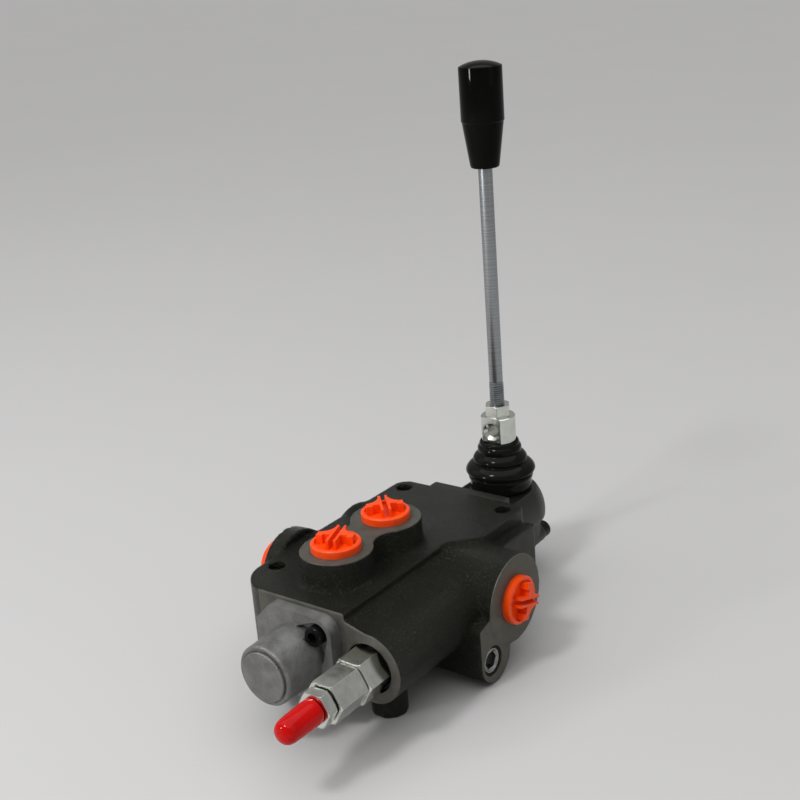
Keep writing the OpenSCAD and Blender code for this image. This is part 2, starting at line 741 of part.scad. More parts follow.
// Dust cap: a soft sleeve with a rounded end, pushed over the adjusting screw
module dust_cap() color([0.85, 0.09, 0.07]) place() {
    r = dust_cap_d / 2;
    round_r = 4;
    steps = 6;
    on_front(relief_off) translate([0, 0, dust_cap_z]) difference() {
        rotate_extrude()
            polygon(concat([[0, 0], [r, 0]],
                [for (i = [0 : steps])
                    let (a = 90 * i / steps)
                    [r - round_r + round_r * cos(a), dust_cap_len - round_r + round_r * sin(a)]],
                [[0, dust_cap_len]]));
        translate([0, 0, -1]) cylinder(h = adjuster_end - dust_cap_z + 1.5,
            r = adjuster_r + soft_gap);
    }
}

// Hex-socket plug that closes the check valve's bore, its washer, spring and poppet
module gallery_plug() color([0.72, 0.73, 0.74]) place() {
    r = gallery_plug_d / 2;
    on_lug_face() translate([0, 0, -gallery_plug_len - plug_sink]) difference() {
        union() {
            cylinder(h = gallery_plug_len - 0.6, r = r);
            translate([0, 0, gallery_plug_len - 0.61]) cylinder(h = 0.61, r1 = r, r2 = r - 0.6);
        }
        translate([0, 0, gallery_plug_len - 6]) cylinder(h = 7, r = r * 0.6, $fn = 6);
    }
}

module check_spring() color([0.42, 0.43, 0.45]) place() {
    near = check_seat_x + check_poppet_len;
    far = lug_reach - gallery_plug_len - plug_sink;
    translate([near, check_off, check_z]) rotate([0, 90, 0])
        coil_spring(4, 0.7, far - near - 0.1, 7);
}

module check_poppet() color([0.74, 0.74, 0.75]) place() {
    translate([check_seat_x, check_off, check_z]) rotate([0, 90, 0]) difference() {
        union() {
            translate([0, 0, -1.4]) cylinder(h = 3, r1 = 2.2, r2 = 5);
            translate([0, 0, 1.6]) cylinder(h = check_poppet_len - 1.6, r = check_bore_r);
        }
        translate([0, 0, 5]) cylinder(h = check_poppet_len, r = 2.9);
    }
}

// Lever housing: flange, barrel-shaped dome, narrower skirt, and the collar for the boot
module lever_housing() color([0.2, 0.2, 0.2]) place() {
    flange_y = rear_y + housing_flange_t;
    column_y = lever_y + 12;
    difference() {
        union() {
            block(-housing_half_w, housing_half_w, rear_y, flange_y,
                spool_z - housing_half_w, spool_z + housing_half_w);
            intersection() {
                union() {
                    rod_y(0, spool_z, rear_y, lever_y, dome_r, dome_r);
                    translate([0, lever_y, spool_z]) sphere(r = dome_r, $fn = 72);
                }
                block(-dome_r - 1, dome_r + 1, rear_y, lever_y + dome_r + 1, step_z, deck_z);
            }
            block(-skirt_r, skirt_r, rear_y, lever_y, skirt_z, step_z + 1);
            rod_z(0, lever_y, skirt_z, step_z + 1, skirt_r, skirt_r);
            rod_z(0, lever_y, deck_z - 1, collar_top_z, collar_r, collar_r);
            rod_y(housing_bolt_off, spool_z - housing_bolt_off, rear_y, column_y, column_r, column_r);
        }
        rod_y(0, spool_z, rear_y - 1, eye_end_y + stroke + 1, spool_r + 3.5, spool_r + 3.5);
        rod_z(0, lever_y, spool_z, collar_top_z + 1, seat_r - 1.5, seat_r - 1.5);
        rod_z(0, lever_y, seat_floor_z, collar_top_z + 1, seat_r + seat_gap, seat_r + seat_gap);
        rod_z(0, lever_y, collar_top_z - 2.1, collar_top_z - 0.5, seat_r + 0.9, seat_r + 0.9);
        rod_y(housing_bolt_off, spool_z - housing_bolt_off, rear_y - 1, column_y + 1,
            bolt_hole_r, bolt_hole_r);
        rod_y(housing_bolt_off, spool_z - housing_bolt_off, column_y, lever_y + dome_r,
            bolt_head_r + 0.6, bolt_head_r + 0.6);
        rod_y(-housing_bolt_off, spool_z + housing_bolt_off, rear_y - 1, flange_y + 30,
            bolt_hole_r, bolt_hole_r);
        rod_y(-housing_bolt_off, spool_z + housing_bolt_off, flange_y, flange_y + 9,
            bolt_head_r + 0.6, bolt_head_r + 0.6);
    }
}

module housing_screws() color([0.07, 0.07, 0.07]) place() {
    flange_y = rear_y + housing_flange_t;
    column_y = lever_y + 12;
    translate([-housing_bolt_off, flange_y, spool_z + housing_bolt_off]) rotate([-90, 0, 0])
        socket_screw(housing_flange_t + bolt_tap - 1);
    translate([housing_bolt_off, column_y, spool_z - housing_bolt_off]) rotate([-90, 0, 0])
        socket_screw(column_y - rear_y + bolt_tap - 1);
}

// Moulded seat round the lever's ball, open upwards as far as the lever swings
module ball_seat() color([0.85, 0.85, 0.8]) place() {
    top_z = collar_top_z - 2.2;
    translate([0, lever_y, pivot_z]) difference() {
        translate([0, 0, seat_floor_z - pivot_z]) cylinder(h = top_z - seat_floor_z, r = seat_r);
        sphere(r = ball_r + guide_gap, $fn = 72);
        translate([0, 0, 2.8]) cylinder(h = 4, r1 = ball_r - 0.6, r2 = ball_r + 2.4);
        translate([0, 0, -ball_r]) cylinder(h = ball_r - 4, r = ball_r - 1.5);
        rod_x(0, 0, -seat_r - 1, seat_r + 1, pivot_pin_r + guide_gap, pivot_pin_r + guide_gap);
    }
}

// The pin through ball and seat that lets the lever swing along the spool only
module pivot_pin() color([0.72, 0.73, 0.74]) place() {
    pin_len = 2 * seat_r - 1;
    translate([0, lever_y, 0])
        rod_x(0, pivot_z, -pin_len / 2, pin_len / 2, pivot_pin_r, pivot_pin_r);
}

module seat_ring() color([0.35, 0.35, 0.36]) place() {
    translate([0, lever_y, collar_top_z - 2.05]) difference() {
        cylinder(h = 1.4, r = seat_r + 0.8);
        translate([0, 0, -1]) cylinder(h = 4, r = seat_r - 1.2);
    }
}

// Rubber boot: a straight skirt, a bead, a wide and a narrow fold, and a lip on the hub
module boot() color([0.06, 0.06, 0.06]) place() {
    big = boot_d / 2;
    lip = hub_r + soft_gap;
    inside = collar_r + soft_gap;
    skirt = inside + 1.8;
    deck = collar_top_z - boot_z + soft_gap;
    translate([0, lever_y, boot_z]) rotate_extrude()
        polygon([[inside, 0], [skirt, 0], [skirt + 0.3, 5.4], [skirt + 1.1, 7.2], [skirt + 1, 8.6],
            [skirt + 0.3, 9.6], [big - 0.5, 10.3], [big, 11.3], [big - 0.3, 12.4], [big - 1.1, 13.8],
            [big - 3.4, 15.6], [big - 4.9, 16.3], [big - 4.5, 18.2], [big - 5, 19.6], [big - 7, 21.4],
            [lip + 2.2, 21.9], [lip + 2.5, 23.4], [lip + 2.2, boot_h - 4], [lip + 1.3, boot_h - 2.7],
            [lip + 1.4, boot_h - 1.6], [lip + 0.7, boot_h - 0.2], [lip, boot_h], [lip, boot_h - 4.5],
            [lip + 1, 21], [lip + 3.2, 18], [lip + 3.4, 15.8], [inside, deck]]);
}

// Lever hub: ball, finger into the spool's eye, neck, and the plated top with a cross hole
module lever_hub() color([0.68, 0.68, 0.7]) place() {
    translate([0, lever_y, 0]) difference() {
        union() {
            translate([0, 0, pivot_z]) sphere(r = ball_r, $fn = 72);
            rod_z(0, 0, spool_z + 3, pivot_z - 5, 2.7, 4.6);
            translate([0, 0, spool_z]) sphere(r = finger_ball_r, $fn = 48);
            rod_z(0, 0, pivot_z + 4, pivot_z + 8, 6, 6);
            rod_z(0, 0, pivot_z + 7.9, hub_z, 6, hub_r);
            rod_z(0, 0, hub_z - 0.01, hub_top_z - 0.4, hub_r, hub_r);
            rod_z(0, 0, hub_top_z - 0.41, hub_top_z, hub_r, hub_r - 0.4);
        }
        translate([-hub_r - 1, -hub_flat - hub_r, hub_top_z - 16.5]) cube([2 * hub_r + 2, hub_r, 20]);
        rod_y(0, cross_hole_z, -hub_flat - 1, hub_r + 1, cross_hole_d / 2, cross_hole_d / 2);
        rod_y(0, cross_hole_z, -hub_flat - 0.01, -hub_flat + 1.7, cross_hole_d / 2 + 1.7,
            cross_hole_d / 2);
        rod_z(0, 0, rod_hole_z, hub_top_z + 1, rod_thread_d / 2 + seat_gap,
            rod_thread_d / 2 + seat_gap);
        rod_x(0, pivot_z, -ball_r - 1, ball_r + 1, pivot_pin_r + guide_gap,
            pivot_pin_r + guide_gap);
    }
}

module jam_nut() color([0.7, 0.7, 0.66]) place() {
    translate([0, lever_y, hub_top_z]) difference() {
        hex_head(jam_nut_af, jam_nut_t, 0.7);
        translate([0, 0, -1]) cylinder(h = jam_nut_t + 2, r = rod_thread_d / 2 + seat_gap);
    }
}

module lever_rod() color([0.7, 0.74, 0.8]) place() {
    thread_r = rod_thread_d / 2;
    neck_z = hub_top_z + 17;
    translate([0, lever_y, 0]) {
        rod_z(0, 0, rod_foot_z, neck_z, thread_r, thread_r);
        rod_z(0, 0, neck_z - 0.01, neck_z + 0.5, thread_r, rod_d / 2);
        rod_z(0, 0, neck_z, knob_z - 2, rod_d / 2, rod_d / 2);
        rod_z(0, 0, knob_z - 2.01, rod_top_z, thread_r, thread_r);
    }
}

// Knob: straight upper grip, long taper to the foot, low dome on top
module knob() color([0.05, 0.05, 0.05]) place() {
    foot_r1 = knob_foot_d / 2;
    taper_len = knob_len * 0.48;
    dome_h = 3;
    translate([0, lever_y, knob_z]) difference() {
        rotate_extrude()
            polygon([[0, 0], [foot_r1 - 0.8, 0], [foot_r1, 0.8], [foot_r1 + 0.7, 6],
                [knob_r - 0.5, taper_len - 4], [knob_r, taper_len + 1],
                [knob_r, knob_len - dome_h - 0.6], [knob_r - 0.5, knob_len - dome_h + 0.4],
                [knob_r - 2.2, knob_len - dome_h + 1.4], [knob_r * 0.45, knob_len - 0.5],
                [0, knob_len]]);
        translate([0, 0, -1]) cylinder(h = 20, r = 5.5);
    }
}

module knob_insert() color([0.75, 0.6, 0.3]) place() {
    translate([0, lever_y, knob_z + 0.2]) difference() {
        cylinder(h = 18.6, r = 5.5 - seat_gap);
        translate([0, 0, -1]) cylinder(h = 18.9, r = rod_thread_d / 2 + seat_gap);
    }
}

// Hollow shank of a transit plug
module plug_shank() {
    difference() {
        translate([0, 0, -plug_shank_len])
            cylinder(h = plug_shank_len + 0.5, r1 = port_r - 0.7, r2 = port_r - 0.3);
        translate([0, 0, -plug_shank_len - 1]) cylinder(h = plug_shank_len, r = port_r - 2);
    }
}

// Transit plug: a cupped flange and a winged grip split by a slot
module port_plug(turn) {
    flange_r = plug_flange_d / 2;
    cup_r = flange_r - 1.9;
    cup_z = plug_flange_t - plug_cup_depth;
    tall = plug_cup_depth + plug_grip_h + 0.5;
    half_slot = 1.2;
    wall = 1.4;
    web_t = 2.2;
    reach = cup_r - 1.2;
    plug_shank();
    difference() {
        union() {
            cylinder(h = plug_flange_t - 0.6, r = flange_r);
            translate([0, 0, plug_flange_t - 0.61])
                cylinder(h = 0.61, r1 = flange_r, r2 = flange_r - 0.6);
        }
        translate([0, 0, cup_z]) cylinder(h = plug_cup_depth + 1, r = cup_r);
    }
    translate([0, 0, cup_z - 0.5]) rotate([0, 0, turn]) intersection() {
        cylinder(h = tall, r = cup_r + 0.3);
        for (side = [0, 1]) mirror([side, 0, 0]) difference() {
            union() {
                translate([half_slot, -cup_r * 0.66, 0]) cube([wall, cup_r * 1.66, tall]);
                translate([half_slot, 0, 0]) cube([reach - half_slot, web_t, tall]);
                translate([half_slot, 1, 0]) cube([reach - half_slot, cup_r, tall]);
                translate([reach * 0.66, -1.8, 0]) cube([reach * 0.34, 3, tall]);
            }
            translate([cup_r - 0.7, cup_r - 0.7, -1])
                cylinder(h = tall + 2, r = cup_r - 0.9 - half_slot - wall + 0.4);
        }
    }
}

// The tank port's plug: a round cup with a cross web
module cup_plug() {
    head_r = plug_flange_d / 2 - 0.1;
    wall = 1.6;
    plug_shank();
    difference() {
        union() {
            cylinder(h = tank_plug_h - 0.8, r = head_r);
            translate([0, 0, tank_plug_h - 0.81]) cylinder(h = 0.81, r1 = head_r, r2 = head_r - 0.8);
        }
        difference() {
            translate([0, 0, 2.5]) cylinder(h = tank_plug_h, r = head_r - wall);
            cube([2 * head_r, wall, 3 * tank_plug_h], center = true);
            cube([wall, 2 * head_r, 3 * tank_plug_h], center = true);
        }
    }
}

module plug_a() color([0.95, 0.33, 0.06]) place() {
    on_work_face(-1) port_plug(20);
}

module plug_b() color([0.95, 0.33, 0.06]) place() {
    on_work_face(1) port_plug(44);
}

module plug_p() color([0.95, 0.33, 0.06]) place() {
    on_pressure_face() port_plug(-18);
}

module plug_t() color([0.92, 0.26, 0.08]) place() {
    on_tank_face() cup_plug();
}

body_casting();
spool();
spool_seal_front();
spool_seal_rear();
spring_cap();
cap_screws();
spring_cup_rear();
spring_cup_front();
centring_spring();
centring_bolt();
relief_body();
relief_sleeve();
relief_lock_nut();
adjusting_screw();
relief_spring_seat();
relief_spring();
relief_poppet();
relief_seal();
dust_cap();
gallery_plug();
check_spring();
check_poppet();
lever_housing();
housing_screws();
ball_seat();
pivot_pin();
seat_ring();
boot();
lever_hub();
jam_nut();
lever_rod();
knob();
knob_insert();
plug_a();
plug_b();
plug_p();
plug_t();
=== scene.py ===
"""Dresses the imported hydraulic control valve: a finish for every solid, and finer pieces for its castings,
turned parts, rubber and plastic."""

import math

import bpy
from mathutils import Matrix, Vector


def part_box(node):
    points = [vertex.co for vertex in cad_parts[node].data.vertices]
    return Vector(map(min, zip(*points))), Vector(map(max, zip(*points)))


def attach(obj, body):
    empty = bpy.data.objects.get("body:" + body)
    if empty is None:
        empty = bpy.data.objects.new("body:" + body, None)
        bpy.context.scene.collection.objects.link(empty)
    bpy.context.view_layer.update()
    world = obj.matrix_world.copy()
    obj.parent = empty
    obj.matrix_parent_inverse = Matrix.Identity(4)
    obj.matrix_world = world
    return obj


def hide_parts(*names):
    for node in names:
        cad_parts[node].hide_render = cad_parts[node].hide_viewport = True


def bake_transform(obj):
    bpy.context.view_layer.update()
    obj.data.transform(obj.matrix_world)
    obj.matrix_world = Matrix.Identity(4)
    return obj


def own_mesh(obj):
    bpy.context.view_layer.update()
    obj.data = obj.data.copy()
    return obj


bl_info = {
    "name": "Control valve dressing",
    "version": (1, 0, 0),
    "blender": (4, 5, 0),
    "location": "View3D > Sidebar > Valve",
    "description": "Builds the visible pieces and finishes of a hand-lever hydraulic control valve",
    "category": "Object",
}

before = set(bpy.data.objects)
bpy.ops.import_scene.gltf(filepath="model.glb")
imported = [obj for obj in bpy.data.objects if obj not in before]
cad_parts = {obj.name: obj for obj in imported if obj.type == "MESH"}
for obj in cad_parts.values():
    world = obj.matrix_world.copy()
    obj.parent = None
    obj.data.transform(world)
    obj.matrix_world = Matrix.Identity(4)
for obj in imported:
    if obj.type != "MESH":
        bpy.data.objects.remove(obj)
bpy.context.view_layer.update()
MM = 0.001

# The spool's axis, the relief valve's beside it and the lever's pivot above it: x and z are in mm
SPOOL_X, SPOOL_Z = 2.5, 37
RELIEF_X = 40.8
SPOOL_AXIS = Vector((SPOOL_X, 0, SPOOL_Z)) * MM
RELIEF_AXIS = Vector((RELIEF_X, 0, SPOOL_Z)) * MM
LEVER_PIVOT = Vector((SPOOL_X, 100, 57)) * MM

# Where the casting was machined, in mm: its mesh stays crisp outside these limits of x, y and z, and at the
# rims of its holes and bores
CRISP_OUTSIDE = ((-48.2, 63.3), (-76.8, 62.3), (0.7, 76.3))
MOUNTING_HOLES = ((-32.5, -54), (-32.5, 54), (32.5, 54))
MOUNTING_HOLE_RIM = 5.2
BORE_RIM = 13.5
RELIEF_BORE_END = -40

# The faces that show bare metal lie beyond these planes, in mm, and are metallic to this degree
BARE_FACES = (
    ("Z", "GREATER_THAN", 76.5),  # work port boss
    ("Y", "LESS_THAN", -77.05),  # front face
    ("X", "GREATER_THAN", 64.75),  # pressure port
    ("X", "LESS_THAN", -48.75),  # tank port
    ("Z", "LESS_THAN", 0.2),  # feet
)
BARE_METALLIC = 0.35

# The lever housing is machined where it meets the casting, up to this y in mm
HOUSING_FACE = 63.8

# The rod's radii and the height of its thread above the hub, in mm
THREAD_CORE, THREAD_CREST = 3.35, 4.05
ROD_SHANK, ROD_IN_KNOB = 3.78, 3.5
THREAD_ABOVE_HUB = 20.3

# Nearly all of a noise texture's values lie between these two
NOISE_LOW, NOISE_HIGH = 0.3, 0.7
# How many times finer the grit of a cast surface is than its lumps
GRIT_FINENESS = 3.1

# The studio, in metres; the power of a softbox is its share of the main one's
FLOOR_SIZE, FLOOR_LEVEL = 24, -0.0004
WORLD_TONE, WORLD_STRENGTH = (1.0, 0.99, 0.98, 1), 0.34
LIGHTS_AIM = (0.0, 0.0, 0.06)
SOFTBOXES = (
    # name, place, size, power
    ("main softbox", (-0.15, -0.85, 1.35), (0.26, 0.26), 1.0),
    ("side softbox", (1.3, 0.1, 0.8), (0.7, 1.2), 0.09),
    ("left softbox", (-1.2, -0.4, 1.0), (0.8, 1.2), 0.2),
    ("small front softbox", (-0.5, -1.0, 0.4), (0.12, 0.12), 0.36),
)
OVERHEAD_POWER, OVERHEAD_SPREAD = 1.5, math.radians(80)

# The camera: its place and lens in mm, its angles in degrees
CAMERA_PLACE = (381.9, -478.2, 354.1)
CAMERA_PITCH, CAMERA_YAW, CAMERA_ROLL = 19.6, -37.78, -4.47
CAMERA_LENS, CAMERA_SENSOR = 58.78, 36


# Modelling helpers


def deselect_everything():
    if bpy.context.object and bpy.context.object.mode != "OBJECT":
        bpy.ops.object.mode_set(mode="OBJECT")
    bpy.ops.object.select_all(action="DESELECT")


def work_on(piece):
    deselect_everything()
    piece.select_set(True)
    bpy.context.view_layer.objects.active = piece


def in_edit_mode(piece, *steps):
    """Runs mesh operators, given as (operator, settings), on the whole of a piece."""
    work_on(piece)
    bpy.ops.object.mode_set(mode="EDIT")
    for operator, settings in steps:
        bpy.ops.mesh.select_all(action="SELECT")
        operator(**settings)
    bpy.ops.object.mode_set(mode="OBJECT")


def apply_modifier(piece, kind, **settings):
    work_on(piece)
    modifier = piece.modifiers.new(kind.title(), kind)
    for key, value in settings.items():
        setattr(modifier, key, value)
    bpy.ops.object.modifier_apply(modifier=modifier.name)


def settle(piece):
    """Moves the piece's place into its mesh."""
    work_on(piece)
    bpy.ops.object.transform_apply(location=True, rotation=True, scale=True)


def smooth(piece, degrees):
    """Shades a piece smooth, apart from edges sharper than the given angle."""
    work_on(piece)
    bpy.ops.object.shade_smooth_by_angle(angle=math.radians(degrees))


def close_open_ends(piece, sides=0):
    """Fills a piece's open rims, if they have no more than so many sides (0 for any number)."""
    work_on(piece)
    bpy.ops.object.mode_set(mode="EDIT")
    bpy.ops.mesh.select_all(action="DESELECT")
    bpy.ops.mesh.select_non_manifold()
    bpy.ops.mesh.fill_holes(sides=sides)
    bpy.ops.mesh.select_all(action="SELECT")
    bpy.ops.mesh.normals_make_consistent(inside=False)
    bpy.ops.object.mode_set(mode="OBJECT")


def break_edges(piece, width, **settings):
    """Breaks a piece's sharp edges, by a width in mm, and keeps its flat faces flat in their shading."""
    apply_modifier(
        piece,
        "BEVEL",
        width=width * MM,
        segments=2,
        limit_method="ANGLE",
        angle_limit=math.radians(28),
        **settings,
    )
    smooth(piece, 40)
    apply_modifier(piece, "WEIGHTED_NORMAL", mode="FACE_AREA_WITH_ANGLE", keep_sharp=True)


def welded_copy(node, name, merge_flats=False):
    """A clean, closed copy of a solid's mesh, to be shaped further."""
    piece = bpy.data.objects.new(name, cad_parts[node].data.copy())
    bpy.context.scene.collection.objects.link(piece)
    piece.data.materials.clear()
    work_on(piece)
    bpy.ops.mesh.customdata_custom_splitnormals_clear()
    in_edit_mode(piece, (bpy.ops.mesh.remove_doubles, {"threshold": 2e-6}))
    if merge_flats:
        in_edit_mode(piece, (bpy.ops.mesh.dissolve_limited, {"angle_limit": math.radians(0.4)}))
    in_edit_mode(piece, (bpy.ops.mesh.normals_make_consistent, {"inside": False}))
    return piece


def eased_copy(node, name, width):
    """A copy of a solid whose sharp edges are broken, as a deburred or moulded edge is."""
    piece = welded_copy(node, name)
    break_edges(piece, width, miter_outer="MITER_ARC", use_clamp_overlap=True)
    return piece


def cast_copy(node, name, voxel, passes, machined):
    """A copy of a casting, remeshed in steps of voxel mm and relaxed, so that its edges melt into each
    other where machined(place in mm) is False."""
    piece = welded_copy(node, name, merge_flats=True)
    apply_modifier(piece, "REMESH", mode="VOXEL", voxel_size=voxel * MM, adaptivity=0)
    as_cast = piece.vertex_groups.new(name="as cast")
    for vertex in piece.data.vertices:
        if not machined(vertex.co / MM):
            as_cast.add([vertex.index], 1.0, "REPLACE")
    apply_modifier(piece, "SMOOTH", factor=0.6, iterations=passes, vertex_group=as_cast.name)
    piece.vertex_groups.clear()
    return piece


def turned(name, profile, foot, direction, steps=64):
    """A piece turned on a lathe: profile points (radius, height) in mm, spun about an axis that leads from
    foot along direction."""
    mesh = bpy.data.meshes.new(name)
    points = [(r * MM, 0, h * MM) for r, h in profile]
    mesh.from_pydata(points, [(i, i + 1) for i in range(len(points) - 1)], [])
    piece = bpy.data.objects.new(name, mesh)
    bpy.context.scene.collection.objects.link(piece)
    in_edit_mode(
        piece,
        (bpy.ops.mesh.spin, {"steps": steps, "angle": math.tau, "center": (0, 0, 0), "axis": (0, 0, 1)}),
        (bpy.ops.mesh.remove_doubles, {"threshold": 1e-6}),
        (bpy.ops.mesh.normals_make_consistent, {"inside": False}),
    )
    turn = Vector(direction).to_track_quat("Z", "Y").to_matrix().to_4x4()
    piece.matrix_world = Matrix.Translation(foot) @ turn
    settle(piece)
    return piece


def thread_coil(name, core_radius, crest_radius, pitch, length, foot, steps=28):
    """A raised screw thread along +Z, closed at both ends, with its sizes in mm."""
    root = pitch * 0.46
    crest = root * 0.35
    sunk_radius = core_radius - 0.15
    corners = [(sunk_radius, -root), (crest_radius, -crest), (crest_radius, crest), (sunk_radius, root)]
    mesh = bpy.data.meshes.new(name)
    points = [(r * MM, 0, h * MM) for r, h in corners]
    mesh.from_pydata(points, [(0, 1), (1, 2), (2, 3), (3, 0)], [])
    piece = bpy.data.objects.new(name, mesh)
    bpy.context.scene.collection.objects.link(piece)
    apply_modifier(
        piece,
        "SCREW",
        screw_offset=pitch * MM,
        iterations=round(length / pitch),
        steps=steps,
        render_steps=steps,
        angle=math.tau,
        use_merge_vertices=True,
        merge_threshold=1e-7,
    )
    close_open_ends(piece, sides=8)
    piece.location = foot
    settle(piece)
    smooth(piece, 30)
    return piece


def join_pieces(main, other):
    work_on(main)
    other.select_set(True)
    bpy.ops.object.join()
    return main


def finish_with(piece, material):
    piece.data.materials.clear()
    piece.data.materials.append(material)


def stand_in(piece, body, slot, *nodes):
    """The piece rides on a body and stands for these solids."""
    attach(piece, body)
    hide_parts(*nodes)


# Materials


def add_node(tree, kind, settings=None, **inputs):
    """A shader node with its settings, values and links; an input named _3 is the fourth one."""
    made = tree.nodes.new(kind)
    for key, value in (settings or {}).items():
        setattr(made, key, value)
    for key, value in inputs.items():
        socket = made.inputs[int(key[1:])] if key[0] == "_" else made.inputs[key.replace("_", " ")]
        if isinstance(value, bpy.types.NodeSocket):
            tree.links.new(value, socket)
        else:
            socket.default_value = value
    return made


def reckon(tree, operation, first, second):
    """The result of a math operation on two values."""
    return add_node(tree, "ShaderNodeMath", {"operation": operation}, _0=first, _1=second).outputs[0]


def mixed(tree, kind, factor, first, second):
    """The first value where the factor is 0 and the second where it is 1."""
    entry, result = {"FLOAT": (2, 0), "VECTOR": (4, 1), "RGBA": (6, 2)}[kind]
    values = {f"_{entry}": first, f"_{entry + 1}": second}
    return add_node(tree, "ShaderNodeMix", {"data_type": kind}, _0=factor, **values).outputs[result]


def new_group(name, inputs, outputs):
    """An empty shader group with its sockets, given as {name: kind}."""
    tree = bpy.data.node_groups.new(name, "ShaderNodeTree")
    for side, sockets in (("INPUT", inputs), ("OUTPUT", outputs)):
        for label, kind in sockets.items():
            tree.interface.new_socket(label, in_out=side, socket_type="NodeSocket" + kind)
    return tree, tree.nodes.new("NodeGroupInput"), tree.nodes.new("NodeGroupOutput")


def grain_group():
    """Cast or moulded grain: lumps of one size, finer grit on them, and a slow mottle."""
    tree, start, end = new_group(
        "Surface grain",
        {
            "Vector": "Vector",
            "Grains per metre": "Float",
            "Depth": "Float",
            "Grit": "Float",
            "Mottle size": "Float",
        },
        {"Normal": "Vector", "Height": "Float", "Mottle": "Float"},
    )
    where, grains = start.outputs["Vector"], start.outputs["Grains per metre"]
    lumps = add_node(tree, "ShaderNodeTexNoise", Vector=where, Scale=grains, Detail=3.0, Roughness=0.55)
    finer = reckon(tree, "MULTIPLY", grains, GRIT_FINENESS)
    grit = add_node(tree, "ShaderNodeTexNoise", Vector=where, Scale=finer, Detail=2.0)
    grit_part = reckon(tree, "MULTIPLY", grit.outputs[0], start.outputs["Grit"])
    height = reckon(tree, "ADD", lumps.outputs[0], grit_part)
    bump = add_node(tree, "ShaderNodeBump", Strength=1.0, Distance=start.outputs["Depth"], Height=height)
    mottle = add_node(
        tree,
        "ShaderNodeTexNoise",
        Vector=where,
        Scale=start.outputs["Mottle size"],
        Detail=4.0,
        Roughness=0.6,
    )
    tree.links.new(bump.outputs["Normal"], end.inputs["Normal"])
    tree.links.new(height, end.inputs["Height"])
    tree.links.new(mottle.outputs[0], end.inputs["Mottle"])
    return tree


def tool_marks_group():
    """Fine rings left by a lathe, round the Z axis of the given vector and along it."""
    tree, start, end = new_group(
        "Tool marks",
        {"Vector": "Vector", "Rings per metre": "Float", "Depth": "Float"},
        {"Normal": "Vector", "Streaks": "Float"},
    )
    apart = add_node(tree, "ShaderNodeSeparateXYZ", Vector=start.outputs["Vector"])
    flat = add_node(tree, "ShaderNodeCombineXYZ", X=apart.outputs["X"], Y=apart.outputs["Y"], Z=0.0)
    radius = add_node(tree, "ShaderNodeVectorMath", {"operation": "LENGTH"}, _0=flat.outputs[0])
    place = reckon(tree, "ADD", radius.outputs["Value"], apart.outputs["Z"])
    rings = reckon(tree, "MULTIPLY", place, start.outputs["Rings per metre"])
    streaks = add_node(
        tree,
        "ShaderNodeTexNoise",
        {"noise_dimensions": "1D"},
        W=rings,
        Scale=1.0,
        Detail=2.0,
        Roughness=0.7,
    )
    bump = add_node(
        tree, "ShaderNodeBump", Strength=1.0, Distance=start.outputs["Depth"], Height=streaks.outputs[0]
    )
    tree.links.new(bump.outputs["Normal"], end.inputs["Normal"])
    tree.links.new(streaks.outputs[0], end.inputs["Streaks"])
    return tree


GROUPS = {}
MATERIALS = {}


def group(maker):
    """The shader group that a function makes, made once."""
    if maker not in GROUPS:
        GROUPS[maker] = maker()
    return GROUPS[maker]


def ramp(tree, factor, dark, light, low=NOISE_LOW, high=NOISE_HIGH):
    """Maps a factor between low and high onto two colours."""
    made = add_node(tree, "ShaderNodeValToRGB", Fac=factor)
    first, last = made.color_ramp.elements
    first.position, last.position = low, high
    first.color, last.color = (*dark, 1), (*light, 1)
    return made.outputs["Color"]


def spread(tree, factor, low, high):
    """Maps a noise onto a range of roughness."""
    made = add_node(
        tree,
        "ShaderNodeMapRange",
        Value=factor,
        From_Min=NOISE_LOW,
        From_Max=NOISE_HIGH,
        To_Min=low,
        To_Max=high,
    )
    return made.outputs[0]


def new_material(name, **fixed):
    """A Principled material with the sockets that stay the same all over, and its Object coordinates."""
    material = bpy.data.materials.new(name)
    material.use_nodes = True
    tree = material.node_tree
    shader = tree.nodes["Principled BSDF"]
    for key, value in fixed.items():
        shader.inputs[key.replace("_", " ")].default_value = value
    place = add_node(tree, "ShaderNodeTexCoord").outputs["Object"]
    MATERIALS[name] = material
    return material, tree, shader, place


def grain_at(tree, place, grains, depth, grit, mottle):
    """The grain of a surface, with so many grains and mottles per metre and a depth in mm."""
    return add_node(
        tree,
        "ShaderNodeGroup",
        {"node_tree": group(grain_group)},
        Vector=place,
        Grains_per_metre=grains,
        Depth=depth * MM,
        Grit=grit,
        Mottle_size=mottle,
    )


def grained(name, dark, light, rough, grains, depth, mottle=60.0, **fixed):
    """A material with cast or moulded grain, two close colours and uneven gloss."""
    if name in MATERIALS:
        return MATERIALS[name]
    material, tree, shader, place = new_material(name, **fixed)
    grain = grain_at(tree, place, grains, depth, grit=0.4, mottle=mottle)
    tree.links.new(grain.outputs["Normal"], shader.inputs["Normal"])
    tree.links.new(ramp(tree, grain.outputs["Mottle"], dark, light), shader.inputs["Base Color"])
    tree.links.new(spread(tree, grain.outputs["Mottle"], *rough), shader.inputs["Roughness"])
    return material


